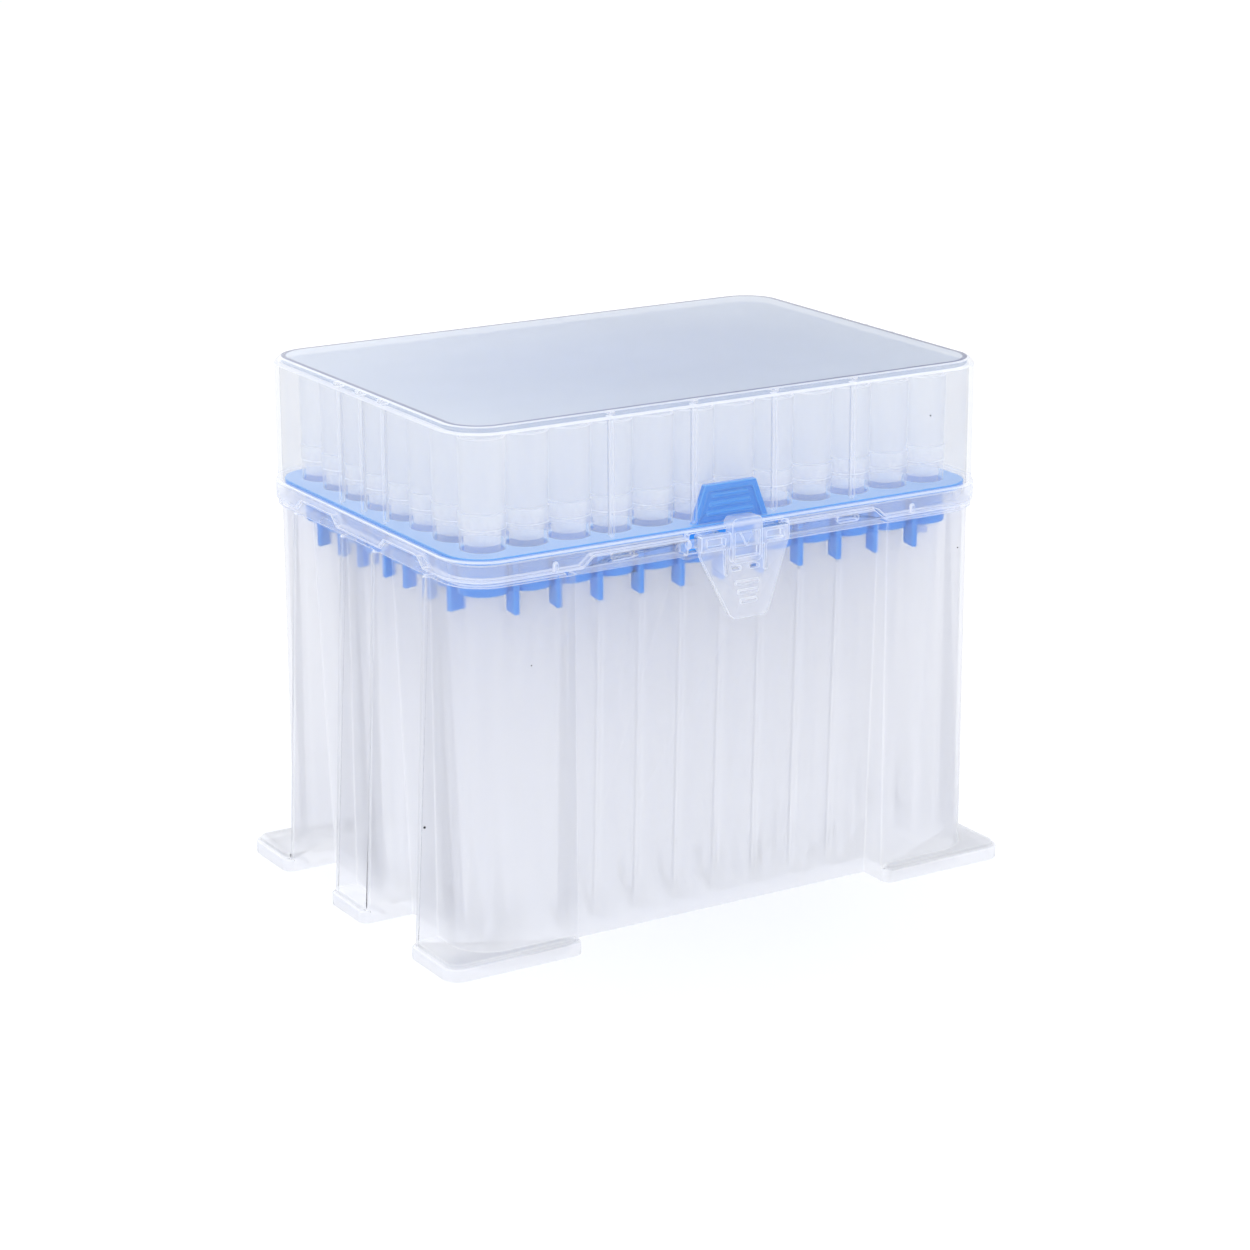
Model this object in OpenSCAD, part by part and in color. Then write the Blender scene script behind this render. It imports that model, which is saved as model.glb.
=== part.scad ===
// Box of pipette tips: a footed base box, a drop-in tray with 96 holes, the tips that stand in it,
// a lid hinged along the back and a latch that holds the lid down at the front.
// Millimetres. The origin is on the table under the middle of the box, the front is at -Y, and +Z is up.

/* [Tip pattern] */
// Number of columns of tips, along X
columns = 12; // [10:1:16]
// Number of rows of tips, along Y
rows = 8; // [7:1:12]
// Distance between neighbouring tips
pitch = 9; // [8.8:0.1:12]

/* [Footprint] */
// How far the feet stand out from the body on the short sides
foot_out_l = 5.68; // [4:0.01:9]
// How far the feet stand out from the body on the long sides
foot_out_w = 2.24; // [1.5:0.01:5]
// Height of the foot flange
foot_h = 2.6; // [1.8:0.1:5]
// Outer corner radius of the feet
foot_r = 3.5; // [1:0.5:6]
// Half length of the front and back recess
front_recess = 35; // [28:0.5:45]
// Half width of the middle foot on each short side
mid_foot = 7.2; // [5:0.1:9]
// Inner edge of the corner feet, from the middle
corner_foot = 26.2; // [22:0.1:30]

/* [Base box] */
// From the outermost tips' cells to the outside of the body, on the short sides
margin_l = 4.2; // [3.8:0.1:15]
// From the outermost tips' cells to the outside of the body, on the long sides
margin_w = 4.5; // [3.8:0.1:15]
// Vertical corner radius of the body
body_r = 8; // [4:0.5:10]
// Wall thickness of the base
wall = 1.2; // [0.8:0.1:2]
// Height of the ledge that the lid closes on
ledge_z = 75.4; // [60:0.1:100]
// How far the ledge stands out from the body
ledge_out = 0.8; // [0.4:0.1:2]

/* [Lid] */
// Height left free between the tips' heads and the lid's top
head_room = 2.1; // [1:0.1:10]
// Wall thickness of the lid
lid_wall = 1.3; // [1:0.1:2]
// Height of the thicker band round the bottom of the lid
band_h = 3.7; // [2.8:0.1:6]
// How far the lid stands out from the body on each side
lid_out = 0.8; // [0.7:0.1:1.5]

/* [Tips] */
// Height of a tip's head above the tray
head_h = 21.3; // [18:0.1:24]
// Outer radius of a tip's head
head_r = 4.3; // [3.6:0.1:4.45]
// Height of a tip's point above the table
tip_point = 3.6; // [3:0.2:20]
// Outer radius of a tip's point
point_r = 0.8; // [0.6:0.1:1.5]
// Wall thickness of a tip
tip_wall = 0.55; // [0.3:0.05:0.7]

/* [Tray] */
// Thickness of the tray's deck
deck_t = 1.2; // [0.8:0.1:2]
// Depth of the sleeves under the deck
sleeve_h = 7; // [4:0.5:10]
// Depth of the fins under the deck, between the outer holes
fin_h = 11.2; // [8:0.2:14]

/* [Latch] */
// Half width of the latch
latch_half = 9.9; // [8:0.1:12]
// Length of the latch below its pivot bar
latch_drop = 14.7; // [10:0.1:20]

/* [Hidden] */
function column_name(n) = str("tips_column_", n < 10 ? "0" : "", n);
$fn = 64;
eps = 0.02;
gap = 0.1;             // between faces that close on each other
slide = 0.2;           // between parts that drop in or stand side by side
pivot = 0.08;          // round the hinge pins and the latch's bar

body_l = columns * pitch + 2 * margin_l;
body_w = rows * pitch + 2 * margin_w;
foot_l = body_l + 2 * foot_out_l;
foot_w = body_w + 2 * foot_out_w;
tip_x0 = -(columns - 1) / 2 * pitch;
tip_y0 = -(rows - 1) / 2 * pitch;

foot_lip = 1.4;        // wall round the hollow underside of each foot
foot_bead = 0.8;       // low step on top of the foot flange
pad_r = 2;             // corner radius at the inner ends of the feet

floor_z = 1.2;         // underside of the floor of the box
floor_t = 1.4;

rib_t = 1;             // ribs inside the base, between the outer tips
rib_in = 1.5;
gusset_t = 1.2;        // upright webs at the edges of the side recesses
gusset_top = 1.2;
gusset_low = 4.2;

ledge_t = 1.2;
spigot_gap = 0.5;      // between the lid and the spigot inside it
spigot_h = 2.6;
spigot_t = 1.3;
deck_z = ledge_z + spigot_h;
deck_top = deck_z + deck_t;
hole_r = 3.95;
sleeve_r = pitch / 2 + 0.05;

// The recess walls stand round the outer sleeves, and lean in towards the table
recess_lean = 2.8;
lean_at_sleeve = recess_lean * (sleeve_h - spigot_h) / ledge_z;
front_top = sleeve_r - tip_y0 + slide + wall + lean_at_sleeve;
side_top = sleeve_r - tip_x0 + slide + wall + lean_at_sleeve;
function front_wall(z) = front_top - recess_lean * (ledge_z - z) / ledge_z;
function side_wall(z) = side_top - recess_lean * (ledge_z - z) / ledge_z;

panel_h = 1.9;         // raised panels between the lid's lowered stretches
panel_end = front_recess - 2;
side_panel_0 = mid_foot + 2.8;
side_panel_1 = corner_foot - 1.2;
slot_x = 25.3;         // small slots in the long panels
slot_l = 4.6;
notch = latch_half + 1.1;

lid_l = body_l + 2 * lid_out;
lid_w = body_w + 2 * lid_out;
lid_z = ledge_z + gap;
lid_top = deck_top + head_h + head_room + lid_wall;
lid_r = body_r + lid_out;
lid_chamfer = 1.1;
band_out = 0.4;
lid_rib_in = 1.1;
lid_rib_t = 0.8;
spacer_x = 40;         // small upright ribs on the front and back of the band
spacer_t = 0.7;
spacer_h = 1.8;
spacer_out = 0.2;
step_slope = 1.2;      // sideways run of the band's steps for each millimetre up
notch_top = ledge_z + band_h - 0.7;
tray_l = lid_l - 2 * lid_wall - 2 * spigot_gap;
tray_w = lid_w - 2 * lid_wall - 2 * spigot_gap;
tray_r = body_r - 1;

hinge_x = 3 * pitch;
knuckle_r = 1.95;
hinge_y = lid_w / 2 + band_out + knuckle_r - gap;
hinge_z = ledge_z + 0.4;
pin_r = 1;
knuckle_l = 9.4;
ear_t = 2;
snap = 1.6;            // mouth of each knuckle, narrower than its pin
ear_r = 1.7;

bar_r = 0.9;
bar_y = -(body_w / 2 + 0.5);
bar_z = ledge_z + 1;
clip_t = 0.8;
clip_r = bar_r + pivot + clip_t;
clip_x0 = 4.4;
clip_x1 = 8.8;
hook_half = 3.4;
hook_r = 1.2;          // rounding of the hook block, seen from the front
plate_t = 1.6;         // latch plate along its top
web_t = 1;             // latch plate below that
beam_low = 1.2;        // from the bar down to the underside of the thick stretch
window_low = 0.5;      // from the bar down to the window in front of each clip
window_top = 0.7;
latch_rib = 0.6;       // upright ribs on the plate
latch_rib_h = 5;
pocket_edge = 0.7;     // border of the pocket in the hook block
pocket_low = 1.2;
pocket_t = 1;
plate_y = -(lid_w / 2 + band_out + 0.8);   // inner face of the latch plate at the bar
plate_lean = 2;
plate_top = notch_top - slide;
nose_z = lid_z + band_h + gap;
nose_t = 1.7;

fin_t = 1.2;
fin_in = 3.3;
tab_y = -(tray_w / 2 - 0.9);
tab_t = 1.4;
tab_top = deck_top + 7.3;
tab_half_top = 5.7;
tab_half_low = 8.4;
tab_edge = 1.3;        // raised border of the tab
tab_field = 0.5;       // depth of the field inside it
grip_pitch = 1.7;      // grip bars across the tab and the latch
grip_t = 0.7;
function tab_half(z) = tab_half_low + (tab_half_top - tab_half_low) * (z - deck_top) / (tab_top - deck_top);

collar_low = deck_top + 4.2;   // collar round a tip's head
collar_h = 2.8;
collar_out = 0.2;
neck_r = hole_r - slide;
waist_z = 40;
waist_r = 2.5;

clear_plastic = [0.86, 0.88, 0.95, 0.55];
tray_blue = [0.2, 0.42, 0.92];
tip_white = [0.93, 0.94, 0.97, 0.8];

// Rounded rectangle with true arcs at its corners
module rrect(l, w, r) {
    square([l - 2 * r, w], center = true);
    square([l, w - 2 * r], center = true);
    for (sx = [-1, 1], sy = [-1, 1])
        translate([sx * (l / 2 - r), sy * (w / 2 - r)]) circle(r);
}

// Outline in Y and Z drawn out along X
module along_x(points, x0, x1) {
    translate([x0, 0, 0]) rotate([90, 0, 90]) linear_extrude(x1 - x0) polygon(points);
}

// Outline in X and Z drawn out along Y
module along_y(points, y0, y1) {
    translate([0, y1, 0]) rotate([90, 0, 0]) linear_extrude(y1 - y0) polygon(points);
}

module both_x() {
    children();
    mirror([1, 0, 0]) children();
}

module both_y() {
    children();
    mirror([0, 1, 0]) children();
}

// Rounded box from z0 up to z1, chamfered round its top
module capped_box(l, w, r, z0, z1, c) {
    h = z1 - z0;
    function edge(half) = [[-half, 0], [half, 0], [half, h - c], [half - c, h],
        [c - half, h], [-half, h - c]];
    translate([0, 0, z0]) {
        along_x(edge(w / 2), -(l / 2 - r), l / 2 - r);
        along_y(edge(l / 2), -(w / 2 - r), w / 2 - r);
        for (sx = [-1, 1], sy = [-1, 1])
            translate([sx * (l / 2 - r), sy * (w / 2 - r), 0])
                rotate_extrude() polygon([[0, 0], [r, 0], [r, h - c], [r - c, h], [0, h]]);
    }
}

// Outline of a raised stretch of the rim from a to b, moved in by the given clearance, with sloping ends
function raised(a, b, clear, low, high) = let (run = step_slope * (high - low))
    [[a + clear - run / 2, low - eps], [a + clear + run / 2, high], [b - clear - run / 2, high],
        [b - clear + run / 2, low - eps]];

// Space in front of the wall of the front recess, moved back by the given thickness
module front_recess_space(back, z1) {
    out = foot_w / 2 + 1;
    along_x([[back - front_wall(-1), -1], [back - front_wall(z1), z1], [-out, z1], [-out, -1]],
        -(front_recess + back), front_recess + back);
}

// Space outside the wall of one side recess, moved back by the given thickness
module side_recess_space(back, z1) {
    out = foot_l / 2 + 1;
    along_y([[back - side_wall(-1), -1], [back - side_wall(z1), z1], [-out, z1], [-out, -1]],
        mid_foot - back, corner_foot + back);
}

module recess_spaces(back, z1) {
    both_y() front_recess_space(back, z1);
    both_x() both_y() side_recess_space(back, z1);
}

// The six pads that the flange is made of, as an outline
module foot_outline(inset) {
    pad_l = foot_l / 2 - front_recess;
    pad_w = foot_w / 2 - corner_foot;
    middle_l = foot_l / 2 - side_wall(0);
    both_x() {
        both_y() translate([foot_l / 2 - pad_l / 2, foot_w / 2 - pad_w / 2])
            rrect(pad_l - 2 * inset, pad_w - 2 * inset, pad_r);
        translate([foot_l / 2 - middle_l, 0])
            rrect(2 * middle_l - 2 * inset, 2 * mid_foot - 2 * inset, pad_r);
    }
}

module feet() {
    difference() {
        linear_extrude(foot_h) intersection() {
            foot_outline(0);
            rrect(foot_l, foot_w, foot_r);
        }
        translate([0, 0, -1]) linear_extrude(foot_h) intersection() {
            foot_outline(foot_lip);
            rrect(foot_l - 2 * foot_lip, foot_w - 2 * foot_lip, foot_r - foot_lip / 2);
        }
    }
    translate([0, 0, foot_h - eps]) linear_extrude(foot_bead + eps) intersection() {
        foot_outline(foot_bead);
        rrect(foot_l - 2 * foot_bead, foot_w - 2 * foot_bead, foot_r - foot_bead);
    }
}

module shell() {
    difference() {
        union() {
            linear_extrude(ledge_z) rrect(body_l, body_w, body_r);
            feet();
        }
        recess_spaces(0, ledge_z - ledge_t);
        difference() {
            translate([0, 0, floor_z + floor_t]) linear_extrude(ledge_z)
                rrect(body_l - 2 * wall, body_w - 2 * wall, body_r - wall);
            recess_spaces(wall, ledge_z - ledge_t + eps);
        }
        translate([0, 0, -1]) linear_extrude(floor_z + 1)
            rrect(2 * (side_wall(0) - wall), 2 * (front_wall(0) - wall), pad_r);
    }
}

// Ledge, spigot and raised panels round the top of the base
module rim() {
    ledge_l = body_l + 2 * ledge_out;
    ledge_w = body_w + 2 * ledge_out;
    difference() {
        union() {
            translate([0, 0, ledge_z - ledge_t]) linear_extrude(ledge_t)
                rrect(ledge_l, ledge_w, body_r + ledge_out);
            translate([0, 0, ledge_z - ledge_t]) linear_extrude(ledge_t + spigot_h)
                rrect(tray_l, tray_w, tray_r);
            both_y() along_y(raised(-panel_end, panel_end, slide, ledge_z, ledge_z + panel_h),
                -ledge_w / 2, spigot_t - tray_w / 2);
            both_x() both_y() along_x(raised(side_panel_0, side_panel_1, slide, ledge_z, ledge_z + panel_h),
                -ledge_l / 2, spigot_t - tray_l / 2);
        }
        translate([0, 0, ledge_z - ledge_t - 1]) linear_extrude(ledge_t + spigot_h + 2)
            rrect(tray_l - 2 * spigot_t, tray_w - 2 * spigot_t, tray_r - spigot_t);
        both_x() both_y() translate([slot_x - slot_l / 2, ledge_w / 2 - 1.2, ledge_z + 0.5])
            cube([slot_l, 2, 1]);
    }
}

module inner_ribs() {
    low = floor_z + floor_t - eps;
    high = deck_z - fin_h - 2 * slide;
    ends = floor((front_recess - rib_t) / pitch);
    // A rib starts inside the wall and stands rib_in proud of it
    function rib(low_y, high_y) = [[wall / 2 - low_y, low], [wall / 2 - high_y, high],
        [wall + rib_in - high_y, high], [wall + rib_in - low_y, low]];
    both_y() for (i = [-ends : ends])
        along_x(rib(front_wall(low), front_wall(high)), i * pitch - rib_t / 2, i * pitch + rib_t / 2);
    both_x() both_y()
        along_y(rib(side_wall(low), side_wall(high)), 2 * pitch - rib_t / 2, 2 * pitch + rib_t / 2);
}

module gussets() {
    x = -body_l / 2;
    web = [[x + wall / 2, foot_h], [x - gusset_low, foot_h], [x - gusset_top, ledge_z - ledge_t],
        [x + wall / 2, ledge_z - ledge_t]];
    both_x() both_y() {
        along_y(web, mid_foot - gusset_t, mid_foot);
        along_y(web, corner_foot, corner_foot + gusset_t);
    }
}

module hinge_ears() {
    low = ledge_z - 6;
    for (sx = [-1, 1], side = [-1, 1]) {
        x = sx * hinge_x + side * (knuckle_l / 2 + slide + ear_t / 2);
        translate([x - ear_t / 2, hinge_y, hinge_z]) rotate([0, 90, 0]) cylinder(r = ear_r, h = ear_t);
        along_x([[body_w / 2 - wall / 2, low], [body_w / 2 - wall / 2, ledge_z],
            [hinge_y - 1, hinge_z - 0.6], [hinge_y + 1.4, hinge_z - 0.9], [body_w / 2 + 0.4, low]],
            x - ear_t / 2, x + ear_t / 2);
    }
    for (sx = [-1, 1])
        translate([sx * hinge_x - knuckle_l / 2 - slide - eps, hinge_y, hinge_z]) rotate([0, 90, 0])
            cylinder(r = pin_r, h = knuckle_l + 2 * slide + 2 * eps);
}

module base_box() {
    color(clear_plastic) {
        difference() {
            union() {
                shell();
                rim();
            }
            translate([-notch, -foot_w / 2 - 1, ledge_z - ledge_t - eps])
                cube([2 * notch, foot_w / 2 + 1 + bar_y + 3.2, spigot_h + ledge_t + 1]);
        }
        translate([-notch - eps, -(tray_w / 2 - spigot_t - 0.4) - 1.9, ledge_z - 2 * ledge_t])
            cube([2 * notch + 2 * eps, 2.4, ledge_t + eps]);
        inner_ribs();
        gussets();
        hinge_ears();
        translate([-notch - eps, bar_y, bar_z]) rotate([0, 90, 0])
            cylinder(r = bar_r, h = 2 * notch + 2 * eps);
    }
}

module tray_fins() {
    z0 = deck_z - fin_h;
    high = deck_z + eps;
    function fin(out) = [[-out, high], [-out, z0], [fin_in - out, z0 + 0.4], [fin_in - out, high]];
    both_y() for (i = [-(columns / 2 - 1) : columns / 2 - 1])
        along_x(fin(front_wall(z0) - wall - slide), i * pitch - fin_t / 2, i * pitch + fin_t / 2);
    both_x() for (i = [-(rows / 2 - 1) : rows / 2 - 1])
        along_y(fin(side_wall(z0) - wall - slide), i * pitch - fin_t / 2, i * pitch + fin_t / 2);
}

module tip_tray() {
    color(tray_blue) {
        difference() {
            union() {
                translate([0, 0, deck_z]) linear_extrude(deck_t) rrect(tray_l, tray_w, tray_r);
                translate([0, 0, deck_z - sleeve_h]) linear_extrude(sleeve_h + eps)
                    for (i = [0 : columns - 1], j = [0 : rows - 1])
                        translate([tip_x0 + i * pitch, tip_y0 + j * pitch]) circle(sleeve_r);
                tray_fins();
            }
            for (i = [0 : columns - 1], j = [0 : rows - 1])
                translate([tip_x0 + i * pitch, tip_y0 + j * pitch, deck_z - sleeve_h - 1])
                    cylinder(r = hole_r, h = sleeve_h + deck_t + 2);
        }
        tray_tab();
    }
}

// Outline of the tab between two heights, drawn in from its sides
function tab_outline(z0, z1, inset) = [[inset - tab_half(z0), z0], [tab_half(z0) - inset, z0],
    [tab_half(z1) - inset, z1], [inset - tab_half(z1), z1]];

// Finger tab at the front with its grip bars, and the skirt below it that closes the notch in the rim
module tray_tab() {
    difference() {
        along_y(tab_outline(deck_z, tab_top, 0), tab_y, tab_y + tab_t);
        along_y(tab_outline(deck_top, tab_top - tab_edge, tab_edge), tab_y - 1, tab_y + tab_field);
    }
    for (i = [0 : 2]) {
        z = deck_top + tab_edge + grip_pitch * i;
        along_y(tab_outline(z, z + grip_t, 2 * tab_edge), tab_y, tab_y + tab_field + eps);
    }
    translate([-notch + slide, tab_y, ledge_z - ledge_t + gap])
        cube([2 * (notch - slide), tab_t, deck_z - ledge_z + ledge_t]);
}

module lid() {
    out_l = lid_l + 2 * band_out;
    out_w = lid_w + 2 * band_out;
    color(clear_plastic) {
        difference() {
            union() {
                capped_box(lid_l, lid_w, lid_r, lid_z, lid_top, lid_chamfer);
                translate([0, 0, lid_z]) linear_extrude(band_h) rrect(out_l, out_w, lid_r + band_out);
            }
            translate([0, 0, lid_z - 1]) linear_extrude(lid_top - lid_z - lid_wall + 1)
                rrect(lid_l - 2 * lid_wall, lid_w - 2 * lid_wall, lid_r - lid_wall);
            along_y(raised(-panel_end, panel_end, 0, lid_z, lid_z + panel_h), -out_w / 2 - 1, out_w / 2 + 1);
            both_y() along_x(raised(side_panel_0, side_panel_1, 0, lid_z, lid_z + panel_h),
                -out_l / 2 - 1, out_l / 2 + 1);
            translate([-notch, -out_w / 2 - 1, lid_z - 1])
                cube([2 * notch, out_w / 2, notch_top - lid_z + 1]);
        }
        lid_ribs();
        lid_knuckles();
        both_x() both_y() translate([spacer_x - spacer_t / 2, out_w / 2 - eps, lid_z])
            cube([spacer_t, spacer_out + eps, spacer_h]);
    }
}

module lid_ribs() {
    low = ledge_z + band_h + 1;
    h = lid_top - lid_wall - low + eps;
    in_y = lid_w / 2 - lid_wall;
    in_x = lid_l / 2 - lid_wall;
    both_x() both_y() for (x = [pitch, 3 * pitch])
        translate([x - lid_rib_t / 2, -in_y - eps, low]) cube([lid_rib_t, lid_rib_in + eps, h]);
    both_x() for (y = [-pitch, 0, pitch])
        translate([-in_x - eps, y - lid_rib_t / 2, low]) cube([lid_rib_in + eps, lid_rib_t, h]);
}

module lid_knuckles() {
    skin = lid_w / 2 + band_out;
    for (sx = [-1, 1]) translate([sx * hinge_x - knuckle_l / 2, 0, 0]) difference() {
        union() {
            translate([0, hinge_y, hinge_z]) rotate([0, 90, 0]) cylinder(r = knuckle_r, h = knuckle_l);
            translate([0, skin - 0.3, hinge_z + 0.5])
                cube([knuckle_l, hinge_y - skin + 0.3, knuckle_r - 0.5]);
        }
        translate([-1, hinge_y, hinge_z]) rotate([0, 90, 0]) cylinder(r = pin_r + pivot, h = knuckle_l + 2);
        translate([-1, hinge_y - snap / 2, hinge_z - 4]) cube([knuckle_l + 2, snap, 4]);
    }
}

// Outline of the latch seen from the front
module latch_outline() {
    z0 = bar_z - latch_drop;
    along_y([[-latch_half, plate_top], [latch_half, plate_top], [latch_half, bar_z - 2],
        [latch_half * 0.78, bar_z - 6.7], [latch_half * 0.45, z0 + 1], [latch_half * 0.34, z0],
        [-latch_half * 0.34, z0], [-latch_half * 0.45, z0 + 1], [-latch_half * 0.78, bar_z - 6.7],
        [-latch_half, bar_z - 2]], plate_y - plate_t - plate_lean - 1, plate_y + 1);
}

// Plate that leans out towards the finger, thicker along its top
module latch_plate() {
    z0 = bar_z - latch_drop;
    bend_z = bar_z - 3;
    beam_z = bar_z - beam_low;
    window_z = bar_z - window_low;
    difference() {
        intersection() {
            latch_outline();
            along_x([[plate_y, plate_top], [plate_y, bend_z], [plate_y - plate_lean, z0],
                [plate_y - plate_lean - web_t, z0], [plate_y - web_t, bend_z], [plate_y - web_t, beam_z],
                [plate_y - plate_t, beam_z], [plate_y - plate_t, plate_top]], -latch_half, latch_half);
        }
        both_x() {
            translate([clip_x0 + latch_rib / 2, plate_y - plate_t - 1, window_z])
                cube([clip_x1 - clip_x0 - latch_rib, plate_t + 2, plate_top - window_top - window_z]);
            translate([1, plate_y - 3, bar_z - 5.6]) cube([2, 4, 0.7]);
        }
    }
    both_x() translate([clip_x0 - latch_rib / 2, plate_y - plate_t, beam_z - latch_rib_h])
        cube([latch_rib, plate_t, latch_rib_h + eps]);
}

// Block in the middle of the plate, with the nose that holds the lid's band and a pocket below it
module latch_hook() {
    low = bar_z - 4.2;
    high = nose_z + nose_t;
    front = plate_y - plate_t - 0.5;
    nose_y = -(lid_w / 2 + gap);
    pocket = hook_half - pocket_edge;
    difference() {
        intersection() {
            along_x([[plate_y + 0.4, low], [front, low], [front, high], [nose_y, high], [nose_y, nose_z],
                [plate_y + 0.4, nose_z]], -hook_half, hook_half);
            translate([0, nose_y + 1, (low + high) / 2]) rotate([90, 0, 0])
                linear_extrude(nose_y + 2 - front) rrect(2 * hook_half, high - low, hook_r);
        }
        translate([-pocket, front - 1, low + pocket_low])
            cube([2 * pocket, pocket_t + 1, plate_top - low - pocket_low]);
    }
    along_y([[-1.5, plate_top + eps], [0, bar_z - 1], [1.5, plate_top + eps]],
        front + 0.3, front + pocket_t + eps);
}

module latch_clips() {
    both_x() difference() {
        union() {
            translate([clip_x0, bar_y, bar_z]) rotate([0, 90, 0]) cylinder(r = clip_r, h = clip_x1 - clip_x0);
            translate([clip_x0, plate_y - 0.4, bar_z - clip_r])
                cube([clip_x1 - clip_x0, bar_y - plate_y + 0.4, 2 * clip_r]);
        }
        translate([clip_x0 - 1, bar_y, bar_z]) rotate([0, 90, 0])
            cylinder(r = bar_r + pivot, h = clip_x1 - clip_x0 + 2);
        translate([clip_x0 - 1, bar_y, bar_z - snap / 2]) cube([clip_x1 - clip_x0 + 2, clip_r + 1, snap]);
    }
}

module grip_ribs() {
    slope = plate_lean / (latch_drop - 3);
    for (i = [0 : 2]) {
        z = bar_z - 8 - grip_pitch * i;
        y = plate_y - web_t - slope * (bar_z - 3 - z);
        half = 2.6 - 0.4 * i;
        translate([-half, y - 0.3, z - grip_t / 2]) cube([2 * half, 0.7, grip_t]);
    }
}

module latch() {
    color(clear_plastic) {
        latch_plate();
        latch_hook();
        latch_clips();
        grip_ribs();
    }
}

// One tip, hollow from end to end
module tip() {
    top = deck_top + head_h;
    h = deck_top;
    barrel_r = head_r - collar_out;
    collar_top = collar_low + collar_h;
    rotate_extrude() polygon([
        [head_r - tip_wall, top], [head_r, top],
        [barrel_r, collar_top + collar_out], [head_r, collar_top],
        [head_r, collar_low], [barrel_r, collar_low - collar_out],
        [barrel_r, h], [neck_r, h], [neck_r, h - 2],
        [waist_r, waist_z], [point_r, tip_point], [point_r - 0.4, tip_point],
        [waist_r - tip_wall, waist_z], [neck_r - tip_wall, h - 2], [neck_r - tip_wall, h + 1],
        [barrel_r - tip_wall, collar_top]
    ]);
}

// Column n of tips, counted from the left
module tips_column(n) {
    color(tip_white)
        for (j = [0 : rows - 1])
            translate([tip_x0 + (n - 1) * pitch, tip_y0 + j * pitch, 0]) tip();
}

base_box();
tip_tray();
lid();
latch();
for (n = [1 : columns])
    tips_column(n);
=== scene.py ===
import bpy
import math
from mathutils import Euler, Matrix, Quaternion


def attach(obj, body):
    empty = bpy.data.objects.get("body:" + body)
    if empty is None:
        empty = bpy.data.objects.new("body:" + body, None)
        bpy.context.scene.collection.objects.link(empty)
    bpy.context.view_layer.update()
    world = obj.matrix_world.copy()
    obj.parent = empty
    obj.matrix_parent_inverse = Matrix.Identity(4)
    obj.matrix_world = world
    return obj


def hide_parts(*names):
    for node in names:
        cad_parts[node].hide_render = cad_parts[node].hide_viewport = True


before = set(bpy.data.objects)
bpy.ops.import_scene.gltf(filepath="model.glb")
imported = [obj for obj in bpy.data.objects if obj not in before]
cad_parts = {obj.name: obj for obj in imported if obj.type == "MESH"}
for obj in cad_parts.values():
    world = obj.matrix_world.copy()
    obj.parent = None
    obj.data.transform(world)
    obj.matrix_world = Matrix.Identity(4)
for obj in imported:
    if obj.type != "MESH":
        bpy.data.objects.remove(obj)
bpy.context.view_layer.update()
bpy.ops.object.select_all(action='DESELECT')
print("frame loaded:", len(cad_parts), "nodes")

mm = 0.001

# view, light and floor

view = {
    "place": (-0.33393, -0.54782, 0.23902),
    "heading": 31.378,      # degrees to the right of +Y
    "down": 16.519,
    "roll": -0.225,
    "lens": 96.1,
    "sensor": 36,
    "clip": (0.05, 20),
}


def makeCamera(settings):
    bpy.ops.object.camera_add(location=settings["place"])
    camera = bpy.context.object
    camera.name = "camera"
    camera.rotation_mode = 'QUATERNION'
    tilt = math.radians(90 - settings["down"])
    heading = math.radians(-settings["heading"])
    roll = Quaternion((0, 0, 1), math.radians(settings["roll"]))
    camera.rotation_quaternion = Euler((tilt, 0, heading)).to_quaternion() @ roll
    camera.data.lens = settings["lens"]
    camera.data.sensor_width = settings["sensor"]
    camera.data.clip_start, camera.data.clip_end = settings["clip"]
    bpy.context.scene.camera = camera


studio = {
    "worldColour": (0.96, 0.97, 1.0),
    "worldStrength": 0.98,
    "backdrop": (1, 1, 1),
    "floorColour": (0.92, 0.92, 0.93),
    "floorSize": 6.0,
    "floorLift": 0.1,      # light added to the floor where the camera sees it
    "lamps": [
        # name, place, size, watts
        ("lampLeft", (-1.1, -0.9, 0.9), 0.9, 4.0),
        ("lampRight", (1.2, -0.8, 0.8), 0.9, 3.0),
        ("lampBack", (0.2, 1.2, 0.9), 1.2, 4.0),
    ],
    "lampAim": 0.05,        # height above the table that the lamps point at
}


def seenRay(tree):
    # 1 for rays from the camera, off a glossy surface or through a clear one
    path = tree.nodes.new("ShaderNodeLightPath")
    first = tree.nodes.new("ShaderNodeMath")
    first.operation = 'MAXIMUM'
    tree.links.new(path.outputs["Is Camera Ray"], first.inputs[0])
    tree.links.new(path.outputs["Is Transmission Ray"], first.inputs[1])
    second = tree.nodes.new("ShaderNodeMath")
    second.operation = 'MAXIMUM'
    tree.links.new(first.outputs[0], second.inputs[0])
    tree.links.new(path.outputs["Is Glossy Ray"], second.inputs[1])
    return second.outputs[0]


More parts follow.
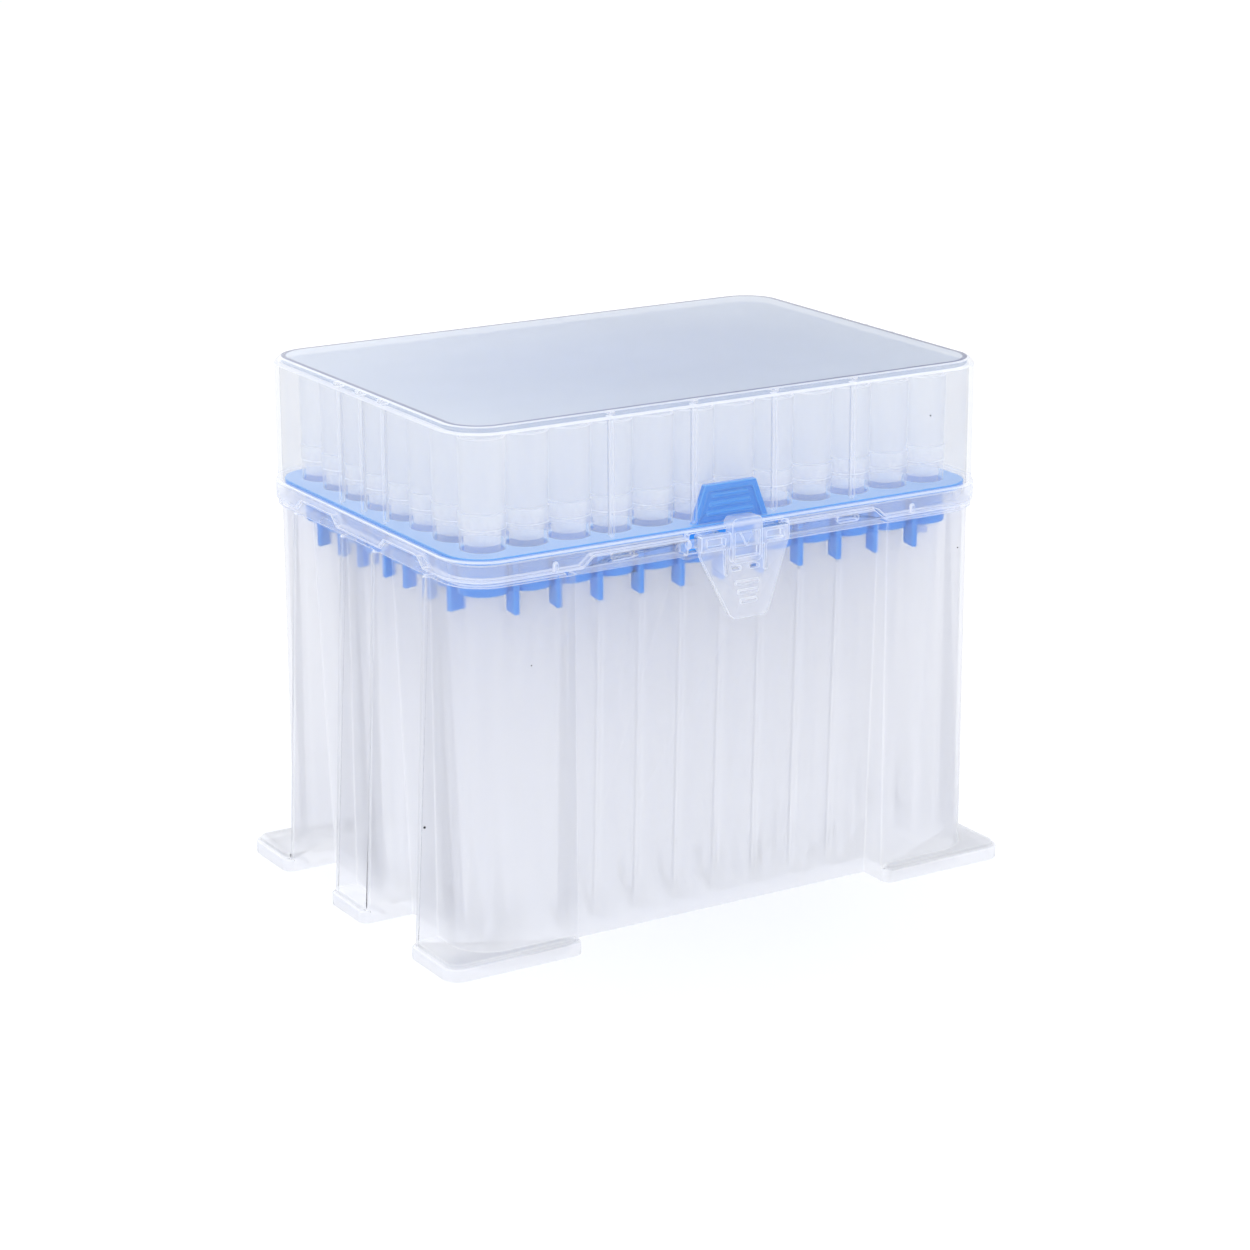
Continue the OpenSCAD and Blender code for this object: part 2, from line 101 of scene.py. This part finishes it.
def makeWorld(settings):
    world = bpy.data.worlds.new("studioWorld")
    bpy.context.scene.world = world
    world.use_nodes = True
    tree = world.node_tree
    tree.nodes.clear()
    out = tree.nodes.new("ShaderNodeOutputWorld")
    light = tree.nodes.new("ShaderNodeBackground")
    light.inputs["Color"].default_value = (*settings["worldColour"], 1)
    light.inputs["Strength"].default_value = settings["worldStrength"]
    backdrop = tree.nodes.new("ShaderNodeBackground")
    backdrop.inputs["Color"].default_value = (*settings["backdrop"], 1)
    backdrop.inputs["Strength"].default_value = 1.0
    mix = tree.nodes.new("ShaderNodeMixShader")
    tree.links.new(seenRay(tree), mix.inputs[0])
    tree.links.new(light.outputs[0], mix.inputs[1])
    tree.links.new(backdrop.outputs[0], mix.inputs[2])
    tree.links.new(mix.outputs[0], out.inputs[0])


def makeFloor(settings):
    bpy.ops.mesh.primitive_plane_add(size=settings["floorSize"], location=(0, 0, 0))
    floor = bpy.context.object
    floor.name = "floor"
    material = bpy.data.materials.new("floorPaint")
    material.use_nodes = True
    tree = material.node_tree
    tree.nodes.clear()
    out = tree.nodes.new("ShaderNodeOutputMaterial")
    paint = tree.nodes.new("ShaderNodeBsdfDiffuse")
    paint.inputs["Color"].default_value = (*settings["floorColour"], 1)
    lift = tree.nodes.new("ShaderNodeEmission")
    lift.inputs["Color"].default_value = (*settings["backdrop"], 1)
    amount = tree.nodes.new("ShaderNodeMath")
    amount.operation = 'MULTIPLY'
    amount.inputs[1].default_value = settings["floorLift"]
    tree.links.new(seenRay(tree), amount.inputs[0])
    tree.links.new(amount.outputs[0], lift.inputs["Strength"])
    both = tree.nodes.new("ShaderNodeAddShader")
    tree.links.new(paint.outputs[0], both.inputs[0])
    tree.links.new(lift.outputs[0], both.inputs[1])
    tree.links.new(both.outputs[0], out.inputs[0])
    floor.data.materials.append(material)


def makeLamps(settings):
    for name, place, size, watts in settings["lamps"]:
        bpy.ops.object.light_add(type='AREA', location=place)
        lamp = bpy.context.object
        lamp.name = name
        lamp.data.shape = 'DISK'
        lamp.data.size = size
        lamp.data.energy = watts
        toObject = -lamp.location
        toObject.z += settings["lampAim"]
        lamp.rotation_mode = 'QUATERNION'
        lamp.rotation_quaternion = toObject.to_track_quat('-Z', 'Y')


makeCamera(view)
makeWorld(studio)
makeFloor(studio)
makeLamps(studio)
bpy.context.scene.view_settings.view_transform = 'Standard'
cycles = bpy.context.scene.cycles
cycles.transparent_max_bounces = 128
cycles.diffuse_bounces = 2
cycles.glossy_bounces = 2
cycles.adaptive_threshold = 0.12
print("view, light and floor made")

# plastics

plastics = {
    # tint passes what is behind
    # haze is the share of the surface that glows in its own colour instead, and 1 is solid
    # rim adds to the haze where the surface turns away
    # shine is the roughness of the gloss, and gloss its strength
    # the two heights of a change up the piece and the haze at the second, where the colour is the
    # second colour: thicker plastic, and on a tip's point painted shade as well
    # blur softens what is far behind
    "wall": {
        "tint": (0.926, 0.928, 0.938), "haze": 0.1, "rim": 0.06, "colour": (0.87, 0.88, 0.91),
        "shine": 0.25, "thick": (0.009, 0.004, 0.34), "thickColour": (0.9, 0.91, 0.94),
        "blur": 0.28,
    },
    # painted highlight: the rounded edges of the walls glow paler than the wall
    "wallEdgeHighlight": {
        "tint": (0.97, 0.97, 0.975), "haze": 0.3, "rim": 0.1, "colour": (0.93, 0.94, 0.96),
        "shine": 0.25, "blur": 0.28,
    },
    "band": {
        "tint": (0.955, 0.955, 0.96), "haze": 0.24, "rim": 0.2, "colour": (0.87, 0.89, 0.93),
        "shine": 0.2,
    },
    # stronger painted highlight, for the rounded edges of the band and the lid's top
    "strongEdgeHighlight": {
        "tint": (0.98, 0.98, 0.985), "haze": 0.7, "rim": 0.0, "colour": (0.97, 0.975, 0.99),
        "shine": 0.2,
    },
    "lidWall": {
        "tint": (0.948, 0.948, 0.948), "haze": 0.07, "rim": 0.1, "colour": (0.68, 0.72, 0.78),
        "shine": 0.2, "blur": 0.24,
    },
    # the top sheet is more frosted than the walls, and its dark blue-grey colour is painted shade
    # with the tray's blue seen through it
    "lidTopShade": {
        "tint": (0.9, 0.92, 0.95), "haze": 0.55, "rim": 0.0, "colour": (0.49, 0.56, 0.67),
        "shine": 0.3,
    },
    # painted shade: a dark line round the edge of the top sheet
    "lidTopShadeLine": {
        "tint": (0.7, 0.73, 0.82), "haze": 0.8, "rim": 0.0, "colour": (0.1, 0.12, 0.24),
        "shine": 0.3,
    },
    "latch": {
        "tint": (0.955, 0.957, 0.97), "haze": 0.26, "rim": 0.2, "colour": (0.92, 0.935, 0.965),
        "shine": 0.12,
    },
    # painted highlight: the rounded edges of the latch glow paler
    "latchEdgeHighlight": {
        "tint": (0.97, 0.97, 0.98), "haze": 0.58, "rim": 0.0, "colour": (0.95, 0.96, 0.98),
        "shine": 0.12,
    },
    "blue": {"haze": 1.0, "colour": (0.012, 0.25, 0.84), "shine": 0.32},
    # painted highlight: the rounded edges of the tray are a lighter blue
    "blueEdgeHighlight": {"haze": 1.0, "colour": (0.07, 0.38, 0.92), "shine": 0.3},
    "dirt": {"haze": 1.0, "colour": (0.03, 0.03, 0.035), "shine": 0.5},
    # painted light: the deck's upper face is a paler blue, where light falls on it from above
    "blueTopLit": {"haze": 1.0, "colour": (0.21, 0.43, 0.87), "shine": 0.4},
    "tip": {
        "tint": (0.993, 0.993, 0.995), "haze": 0.2, "rim": 0.12,
        "colour": (0.95, 0.955, 0.975), "shine": 0.45, "thick": (0.0815, 0.0862, 0.42),
        "thickColour": (0.88, 0.9, 0.935), "gloss": 0.2,
    },
    # painted shade: the point grows hazier and darker towards its end, where less light reaches
    "tipPointShade": {
        "tint": (0.993, 0.993, 0.995), "haze": 0.2, "rim": 0.12,
        "colour": (0.95, 0.955, 0.975), "shine": 0.45, "thick": (0.04, 0.004, 0.3),
        "thickColour": (0.93, 0.94, 0.97), "gloss": 0.2,
    },
    # painted highlight: thin pale rings on the edges of the tip's head
    "tipEdgeHighlight": {
        "tint": (0.99, 0.99, 0.995), "haze": 0.6, "rim": 0.2, "colour": (0.96, 0.965, 0.98),
        "shine": 0.45, "gloss": 0.2,
    },
}
plasticIor = 1.45
blurIor = 1.04          # bends little, so that what is behind stays in its place
rimBlend = 0.2
litBehind = 0.5         # share of the glow that is light from behind
flowScale = 45          # of the waves in the haze
hazeSpread = 0.15       # share by which they change it
dyeScale = 60           # of the unevenness in the blue
dyeSpread = 0.06


def makeSpread(tree, look):
    # slow waves left by the melt in the mould, or a change up the piece, as 0 to 1: a thicker wall,
    # and on a tip's point also painted shade
    where = tree.nodes.new("ShaderNodeTexCoord")
    if "thick" in look:
        split = tree.nodes.new("ShaderNodeSeparateXYZ")
        tree.links.new(where.outputs["Object"], split.inputs[0])
        rise = tree.nodes.new("ShaderNodeMapRange")
        rise.inputs["From Min"].default_value = look["thick"][0]
        rise.inputs["From Max"].default_value = look["thick"][1]
        tree.links.new(split.outputs["Z"], rise.inputs["Value"])
        return rise.outputs[0]
    flow = tree.nodes.new("ShaderNodeTexNoise")
    flow.inputs["Scale"].default_value = flowScale
    flow.inputs["Detail"].default_value = 1
    tree.links.new(where.outputs["Object"], flow.inputs["Vector"])
    return flow.outputs["Fac"]


def makeHaze(tree, look, spread):
    low, high = look["haze"] * (1 - hazeSpread), look["haze"] * (1 + hazeSpread)
    if "thick" in look:
        low, high = look["haze"], look["thick"][2]
    amount = tree.nodes.new("ShaderNodeMapRange")
    amount.inputs["To Min"].default_value = low
    amount.inputs["To Max"].default_value = high
    tree.links.new(spread, amount.inputs["Value"])
    if not look["rim"]:
        return amount.outputs[0]
    turned = tree.nodes.new("ShaderNodeLayerWeight")
    turned.inputs["Blend"].default_value = rimBlend
    rim = tree.nodes.new("ShaderNodeMath")
    rim.operation = 'MULTIPLY_ADD'
    rim.use_clamp = True
    rim.inputs[1].default_value = look["rim"]
    tree.links.new(turned.outputs["Facing"], rim.inputs[0])
    tree.links.new(amount.outputs[0], rim.inputs[2])
    return rim.outputs[0]


def makeGlow(tree, look, spread):
    lit = tree.nodes.new("ShaderNodeBsdfDiffuse")
    litFromBehind = tree.nodes.new("ShaderNodeBsdfTranslucent")
    for side in (lit, litFromBehind):
        side.inputs["Color"].default_value = (*look["colour"], 1)
    if "thickColour" in look:
        colour = tree.nodes.new("ShaderNodeMix")
        colour.data_type = 'RGBA'
        colour.inputs["A"].default_value = (*look["colour"], 1)
        colour.inputs["B"].default_value = (*look["thickColour"], 1)
        tree.links.new(spread, colour.inputs["Factor"])
        for side in (lit, litFromBehind):
            tree.links.new(colour.outputs["Result"], side.inputs["Color"])
    glow = tree.nodes.new("ShaderNodeMixShader")
    glow.inputs[0].default_value = litBehind
    tree.links.new(lit.outputs[0], glow.inputs[1])
    tree.links.new(litFromBehind.outputs[0], glow.inputs[2])
    return glow.outputs[0]


def makeBlur(tree, look, clear):
    # milky plastic softens what is far behind it, on the first surface that the camera sees
    spread = tree.nodes.new("ShaderNodeBsdfRefraction")
    spread.inputs["Color"].default_value = (*look["tint"], 1)
    spread.inputs["Roughness"].default_value = look["blur"]
    spread.inputs["IOR"].default_value = blurIor
    path = tree.nodes.new("ShaderNodeLightPath")
    side = tree.nodes.new("ShaderNodeNewGeometry")
    first = tree.nodes.new("ShaderNodeMath")
    first.operation = 'SUBTRACT'
    first.use_clamp = True
    tree.links.new(path.outputs["Is Camera Ray"], first.inputs[0])
    tree.links.new(side.outputs["Backfacing"], first.inputs[1])
    mix = tree.nodes.new("ShaderNodeMixShader")
    tree.links.new(first.outputs[0], mix.inputs[0])
    tree.links.new(clear.outputs[0], mix.inputs[1])
    tree.links.new(spread.outputs[0], mix.inputs[2])
    return mix


def makeBody(tree, look):
    spread = makeSpread(tree, look)
    passed = tree.nodes.new("ShaderNodeBsdfTransparent")
    passed.inputs["Color"].default_value = (*look["tint"], 1)
    if "blur" in look:
        passed = makeBlur(tree, look, passed)
    body = tree.nodes.new("ShaderNodeMixShader")
    tree.links.new(makeHaze(tree, look, spread), body.inputs[0])
    tree.links.new(passed.outputs[0], body.inputs[1])
    tree.links.new(makeGlow(tree, look, spread), body.inputs[2])
    return body.outputs[0]


def makeSolidBody(tree, look):
    # dye that is a little uneven in the plastic
    where = tree.nodes.new("ShaderNodeTexCoord")
    flow = tree.nodes.new("ShaderNodeTexNoise")
    flow.inputs["Scale"].default_value = dyeScale
    tree.links.new(where.outputs["Object"], flow.inputs["Vector"])
    dye = tree.nodes.new("ShaderNodeMix")
    dye.data_type = 'RGBA'
    for end, change in (("A", 1 - dyeSpread), ("B", 1 + dyeSpread)):
        dye.inputs[end].default_value = (*(min(1, part * change) for part in look["colour"]), 1)
    tree.links.new(flow.outputs["Fac"], dye.inputs["Factor"])
    lit = tree.nodes.new("ShaderNodeBsdfDiffuse")
    tree.links.new(dye.outputs["Result"], lit.inputs["Color"])
    return lit.outputs[0]


def makeGloss(tree, look, body):
    mirror = tree.nodes.new("ShaderNodeBsdfGlossy")
    mirror.inputs["Roughness"].default_value = look["shine"]
    fresnel = tree.nodes.new("ShaderNodeFresnel")
    fresnel.inputs["IOR"].default_value = plasticIor
    side = tree.nodes.new("ShaderNodeNewGeometry")
    front = tree.nodes.new("ShaderNodeMath")
    front.operation = 'MULTIPLY_ADD'
    front.inputs[1].default_value = -look.get("gloss", 1)
    front.inputs[2].default_value = look.get("gloss", 1)
    tree.links.new(side.outputs["Backfacing"], front.inputs[0])
    share = tree.nodes.new("ShaderNodeMath")
    share.operation = 'MULTIPLY'
    tree.links.new(fresnel.outputs[0], share.inputs[0])
    tree.links.new(front.outputs[0], share.inputs[1])
    both = tree.nodes.new("ShaderNodeMixShader")
    tree.links.new(share.outputs[0], both.inputs[0])
    tree.links.new(body, both.inputs[1])
    tree.links.new(mirror.outputs[0], both.inputs[2])
    return both.outputs[0]


def makeOpenToLight(tree, surface):
    # light from the lamps and the room goes straight through
    # so the inside is lit as evenly as in milky plastic
    path = tree.nodes.new("ShaderNodeLightPath")
    lightRay = tree.nodes.new("ShaderNodeMath")
    lightRay.operation = 'MAXIMUM'
    tree.links.new(path.outputs["Is Shadow Ray"], lightRay.inputs[0])
    tree.links.new(path.outputs["Is Diffuse Ray"], lightRay.inputs[1])
    onlyLight = tree.nodes.new("ShaderNodeMath")
    onlyLight.operation = 'MAXIMUM'
    tree.links.new(lightRay.outputs[0], onlyLight.inputs[0])
    mirrored = tree.nodes.new("ShaderNodeMath")
    mirrored.operation = 'SUBTRACT'
    tree.links.new(path.outputs["Is Glossy Ray"], mirrored.inputs[0])
    tree.links.new(path.outputs["Is Transmission Ray"], mirrored.inputs[1])
    tree.links.new(mirrored.outputs[0], onlyLight.inputs[1])
    lightIn = tree.nodes.new("ShaderNodeBsdfTransparent")
    through = tree.nodes.new("ShaderNodeMixShader")
    tree.links.new(onlyLight.outputs[0], through.inputs[0])
    tree.links.new(surface, through.inputs[1])
    tree.links.new(lightIn.outputs[0], through.inputs[2])
    return through.outputs[0]


def makePlastic(name, look):
    material = bpy.data.materials.new(name)
    material.use_nodes = True
    tree = material.node_tree
    tree.nodes.clear()
    if look["haze"] == 1:
        surface = makeGloss(tree, look, makeSolidBody(tree, look))
    else:
        surface = makeOpenToLight(tree, makeGloss(tree, look, makeBody(tree, look)))
    out = tree.nodes.new("ShaderNodeOutputMaterial")
    tree.links.new(surface, out.inputs[0])
    return material


material = {name: makePlastic(name, look) for name, look in plastics.items()}
print("plastics made")


# tools for modelling

joinNear = 0.03 * mm        # corners closer than this become one
flatAngle = math.radians(0.5)
bevelAngle = math.radians(35)
smoothAngle = math.radians(30)
strayFrom = 0.12 * mm       # more than a rounded edge ever lies below the surface
levelFrom = 0.9             # upright share of a normal, from which the face is level
flatFrom = 0.99             # the same without the first strip of a rounded edge


def only(thing):
    bpy.ops.object.select_all(action='DESELECT')
    thing.select_set(True)
    bpy.context.view_layer.objects.active = thing


def addPlastics(piece, *names):
    # returns each plastic's number on the piece, where the first is on every face at the start
    for name in names:
        piece.data.materials.append(material[name])
    return {name: number for number, name in enumerate(names)}


def cleanCopy(node, name):
    # the node's own shape with its loose triangles joined into whole faces
    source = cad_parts[node]
    piece = bpy.data.objects.new(name, source.data.copy())
    bpy.context.collection.objects.link(piece)
    piece.data.materials.clear()
    only(piece)
    bpy.ops.object.mode_set(mode='EDIT')
    bpy.ops.mesh.select_all(action='SELECT')
    bpy.ops.mesh.remove_doubles(threshold=joinNear)
    bpy.ops.mesh.customdata_custom_splitnormals_clear()
    bpy.ops.mesh.dissolve_limited(angle_limit=flatAngle)
    bpy.ops.object.mode_set(mode='OBJECT')
    return piece


def pullBack(piece, node, reach):
    # corners that the rounding threw off the node's own surface go back onto it
    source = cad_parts[node]
    for corner in piece.data.vertices:
        found, place, normal, face = source.closest_point_on_mesh(corner.co)
        if found and (place - corner.co).length > reach:
            corner.co = place


def roundEdges(piece, node, settings, edgeHighlightNumber):
    only(piece)
    bevel = piece.modifiers.new("roundEdges", 'BEVEL')
    bevel.width = settings["edgeRound"]
    bevel.segments = settings["edgeSegments"]
    bevel.limit_method = 'ANGLE'
    bevel.angle_limit = bevelAngle
    bevel.use_clamp_overlap = False
    bevel.miter_outer = 'MITER_ARC'
    # the rounded strips take the plastic for the painted highlight along the edges
    bevel.material = edgeHighlightNumber
    bpy.ops.object.modifier_apply(modifier=bevel.name)
    pullBack(piece, node, strayFrom)
    bpy.ops.object.shade_smooth_by_angle(angle=smoothAngle)


def standFor(piece, node, body):
    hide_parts(node)
    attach(piece, body)


def joinTo(piece, parts):
    bpy.ops.object.select_all(action='DESELECT')
    for part in parts + [piece]:
        part.select_set(True)
    bpy.context.view_layer.objects.active = piece
    bpy.ops.object.join()


def makeSpecks(specks):
    # specks of dirt on the outside of a wall
    made = []
    for *place, radius in specks:
        bpy.ops.mesh.primitive_ico_sphere_add(
            subdivisions=2, radius=radius * mm, location=[part * mm for part in place])
        bpy.ops.object.transform_apply(location=True, rotation=False, scale=False)
        speck = bpy.context.object
        speck.data.materials.append(material["dirt"])
        made.append(speck)
    return made


# base box

baseBox = {
    "edgeRound": 0.28 * mm,
    "edgeSegments": 2,
    "rimFrom": 74.0 * mm,       # faces above this are the thick rim
    "specks": [     # place and radius
        (-60.56, -27.4, 25.75, 0.26),
        (-44.62, -40.5, 58.22, 0.13),
        (52.49, -40.15, 66.47, 0.15),
    ],
}


def makeBaseBox(settings):
    piece = cleanCopy("base_box", "baseBox")
    number = addPlastics(piece, "wall", "wallEdgeHighlight", "band", "strongEdgeHighlight")
    for face in piece.data.polygons:
        if face.center.z > settings["rimFrom"]:
            face.material_index = number["band"]
    roundEdges(piece, "base_box", settings, number["wallEdgeHighlight"])
    # rounded edges on the band take the stronger painted highlight
    for face in piece.data.polygons:
        if face.material_index == number["wallEdgeHighlight"] and face.center.z > settings["rimFrom"]:
            face.material_index = number["strongEdgeHighlight"]
    joinTo(piece, makeSpecks(settings["specks"]))
    standFor(piece, "base_box", "base")


makeBaseBox(baseBox)
print("base box made")

# lid

lid = {
    "edgeRound": 0.3 * mm,
    "edgeSegments": 2,
    "topFrom": 102.3 * mm,      # faces above this that look up or down are the top sheet
    "bandTo": 79.3 * mm,        # faces below this are the thick band
    "top": 103.9 * mm,
    "topWithin": 0.01 * mm,
    "lineWidth": 0.9 * mm,      # painted shade, a dark line round the top sheet
    "hookX": [-27, -9, 9, 27],          # ends of the ribs, where they run on under the top sheet
    "hookY": [-9, 0, 9],
    "hookSize": (0.9 * mm, 2.2 * mm, 0.7 * mm),     # width, length and height
    "hookOff": 0.3 * mm,                # gap between the hook and the wall
    "hookZ": 103.4 * mm,
    "specks": [(44.29, -41.3, 94.33, 0.17)],        # place and radius
    "halfLength": 58.9 * mm,
    "halfWidth": 40.9 * mm,
}


def makeHook(place, size):
    bpy.ops.mesh.primitive_cube_add(size=1, location=place)
    hook = bpy.context.object
    hook.scale = size
    bpy.ops.object.transform_apply(location=True, rotation=False, scale=True)
    return hook


def makeHooks(settings):
    width, length, height = settings["hookSize"]
    reach = length / 2 + settings["hookOff"]
    z = settings["hookZ"]
    hooks = []
    for side in (-1, 1):
        for x in settings["hookX"]:
            y = side * (settings["halfWidth"] - reach)
            hooks.append(makeHook((x * mm, y, z), (width, length, height)))
        for y in settings["hookY"]:
            x = side * (settings["halfLength"] - reach)
            hooks.append(makeHook((x, y * mm, z), (length, width, height)))
    return hooks


def onTop(face, settings):
    return face.center.z > settings["top"] - settings["topWithin"] and face.normal.z > flatFrom


def drawTopShadeLine(piece, settings, shadeLineNumber):
    only(piece)
    bpy.ops.object.mode_set(mode='EDIT')
    bpy.ops.mesh.select_mode(type='FACE')
    bpy.ops.mesh.select_all(action='DESELECT')
    bpy.ops.object.mode_set(mode='OBJECT')
    for face in piece.data.polygons:
        face.select = onTop(face, settings)
    bpy.ops.object.mode_set(mode='EDIT')
    bpy.ops.mesh.inset(thickness=settings["lineWidth"])
    bpy.ops.object.mode_set(mode='OBJECT')
    # the inset strip round the top sheet takes the painted shade line
    for face in piece.data.polygons:
        if onTop(face, settings) and not face.select:
            face.material_index = shadeLineNumber


def makeLid(settings):
    piece = cleanCopy("lid", "lid")
    number = addPlastics(piece, "lidWall", "wallEdgeHighlight", "lidTopShade", "lidTopShadeLine", "band", "strongEdgeHighlight")
    for face in piece.data.polygons:
        # the top sheet takes its painted shade
        if face.center.z > settings["topFrom"] and abs(face.normal.z) > levelFrom:
            face.material_index = number["lidTopShade"]
        if face.center.z < settings["bandTo"]:
            face.material_index = number["band"]
    roundEdges(piece, "lid", settings, number["wallEdgeHighlight"])
    # rounded edges off the wall, on the band and the top, take the stronger painted highlight
    for face in piece.data.polygons:
        inWall = settings["bandTo"] < face.center.z < settings["topFrom"]
        if face.material_index == number["wallEdgeHighlight"] and not inWall:
            face.material_index = number["strongEdgeHighlight"]
    drawTopShadeLine(piece, settings, number["lidTopShadeLine"])
    hooks = makeHooks(settings)
    # the hooks take the same painted edge highlight
    for hook in hooks:
        hook.data.materials.append(material["wallEdgeHighlight"])
    joinTo(piece, hooks + makeSpecks(settings["specks"]))
    standFor(piece, "lid", "lid")


makeLid(lid)
print("lid made")

# latch

latch = {
    "edgeRound": 0.18 * mm,
    "edgeSegments": 2,
}


def makeLatch(settings):
    piece = cleanCopy("latch", "latch")
    number = addPlastics(piece, "latch", "latchEdgeHighlight")
    roundEdges(piece, "latch", settings, number["latchEdgeHighlight"])
    standFor(piece, "latch", "latch")


makeLatch(latch)
print("latch made")

# tray

tray = {
    "edgeRound": 0.16 * mm,
    "edgeSegments": 1,
    "deckTop": 79.2 * mm,
    "deckWithin": 0.1 * mm,
}


def makeTray(settings):
    piece = cleanCopy("tip_tray", "tray")
    number = addPlastics(piece, "blue", "blueEdgeHighlight", "blueTopLit")
    for face in piece.data.polygons:
        height = abs(face.center.z - settings["deckTop"])
        # the deck's upper face takes the paler blue of painted light
        if face.normal.z > levelFrom and height < settings["deckWithin"]:
            face.material_index = number["blueTopLit"]
    roundEdges(piece, "tip_tray", settings, number["blueEdgeHighlight"])
    standFor(piece, "tip_tray", "base")


makeTray(tray)
print("tray made")

# tips

tips = {
    "columns": 12,
    "rows": 8,
    "pitch": 9 * mm,
    "sides": 32,
    # radius and height above the table, from the point up the outside and down the bore
    "outline": [
        (0.8, 3.6), (2.5, 40.0), (3.75, 77.2), (3.75, 79.2), (4.1, 79.2), (4.1, 83.2),
        (4.3, 83.4), (4.3, 86.2), (4.1, 86.4), (4.3, 100.25), (4.15, 100.5), (3.88, 100.5),
        (3.75, 100.25), (3.55, 86.2), (3.2, 80.2), (3.2, 77.2), (1.95, 40.0), (0.4, 3.6),
    ],
    "ribSpacing": 4,        # every fourth upright line of the head stands out as a rib
    "ribFrom": 79.1 * mm,
    "ribTo": 83.3 * mm,
    "ribRadius": 4.28 * mm,
    "headRadius": 4.05 * mm,
    "lowTo": 40 * mm,           # faces below this are the point, which darkens towards its end as painted shade
    "joinNear": 0.005 * mm,
    "smoothAngle": math.radians(35),
    # heights of the rings that glow paler, a painted highlight on the collar's two edges and the
    # top rim
    "edges": [(83.15, 83.45), (86.15, 86.45), (100.3, 100.6)],
}


def makeTip(settings):
    outline = settings["outline"]
    radius, height = outline[0]
    bpy.ops.mesh.primitive_circle_add(
        vertices=settings["sides"], radius=radius * mm, location=(0, 0, height * mm),
        fill_type='NOTHING')
    piece = bpy.context.object
    bpy.ops.object.transform_apply(location=True, rotation=False, scale=False)
    bpy.ops.object.mode_set(mode='EDIT')
    bpy.ops.mesh.select_all(action='SELECT')
    for (r0, z0), (r1, z1) in zip(outline, outline[1:] + outline[:1]):
        rise = (0, 0, (z1 - z0) * mm)
        bpy.ops.mesh.extrude_edges_move(TRANSFORM_OT_translate={"value": rise})
        bpy.ops.transform.resize(value=(r1 / r0, r1 / r0, 1), center_override=(0, 0, z1 * mm))
    bpy.ops.mesh.select_all(action='SELECT')
    bpy.ops.mesh.remove_doubles(threshold=settings["joinNear"])
    bpy.ops.mesh.normals_make_consistent(inside=False)
    bpy.ops.object.mode_set(mode='OBJECT')
    number = addPlastics(piece, "tip", "tipEdgeHighlight", "tipPointShade")
    for face in piece.data.polygons:
        if face.center.z < settings["lowTo"]:
            face.material_index = number["tipPointShade"]
        if any(low * mm < face.center.z < high * mm for low, high in settings["edges"]):
            face.material_index = number["tipEdgeHighlight"]
    for corner in piece.data.vertices:
        place = corner.co
        radius = math.hypot(place.x, place.y)
        line = round(math.atan2(place.y, place.x) / (2 * math.pi) * settings["sides"])
        onHead = radius > settings["headRadius"]
        if (onHead and line % settings["ribSpacing"] == 0
                and settings["ribFrom"] < place.z < settings["ribTo"]):
            place.x *= settings["ribRadius"] / radius
            place.y *= settings["ribRadius"] / radius
    only(piece)
    bpy.ops.object.shade_smooth_by_angle(angle=settings["smoothAngle"])
    return piece


def makeTips(settings):
    first = makeTip(settings)
    middle = (settings["rows"] - 1) / 2
    row = []
    for j in range(settings["rows"]):
        copy = first.copy()
        copy.data = first.data.copy()
        copy.location.y = (j - middle) * settings["pitch"]
        bpy.context.collection.objects.link(copy)
        row.append(copy)
    bpy.data.objects.remove(first)
    bpy.ops.object.select_all(action='DESELECT')
    for copy in row:
        copy.select_set(True)
    bpy.context.view_layer.objects.active = row[0]
    bpy.ops.object.transform_apply(location=True, rotation=False, scale=False)
    bpy.ops.object.join()
    column = bpy.context.object
    middle = (settings["columns"] - 1) / 2
    for i in range(settings["columns"]):
        piece = column.copy()
        piece.data = column.data.copy()
        piece.name = "tipsColumn%02d" % (i + 1)
        piece.location.x = (i - middle) * settings["pitch"]
        bpy.context.collection.objects.link(piece)
        only(piece)
        bpy.ops.object.transform_apply(location=True, rotation=False, scale=False)
        standFor(piece, "tips_column_%02d" % (i + 1), "base")
    bpy.data.objects.remove(column)


makeTips(tips)
print("tips made")
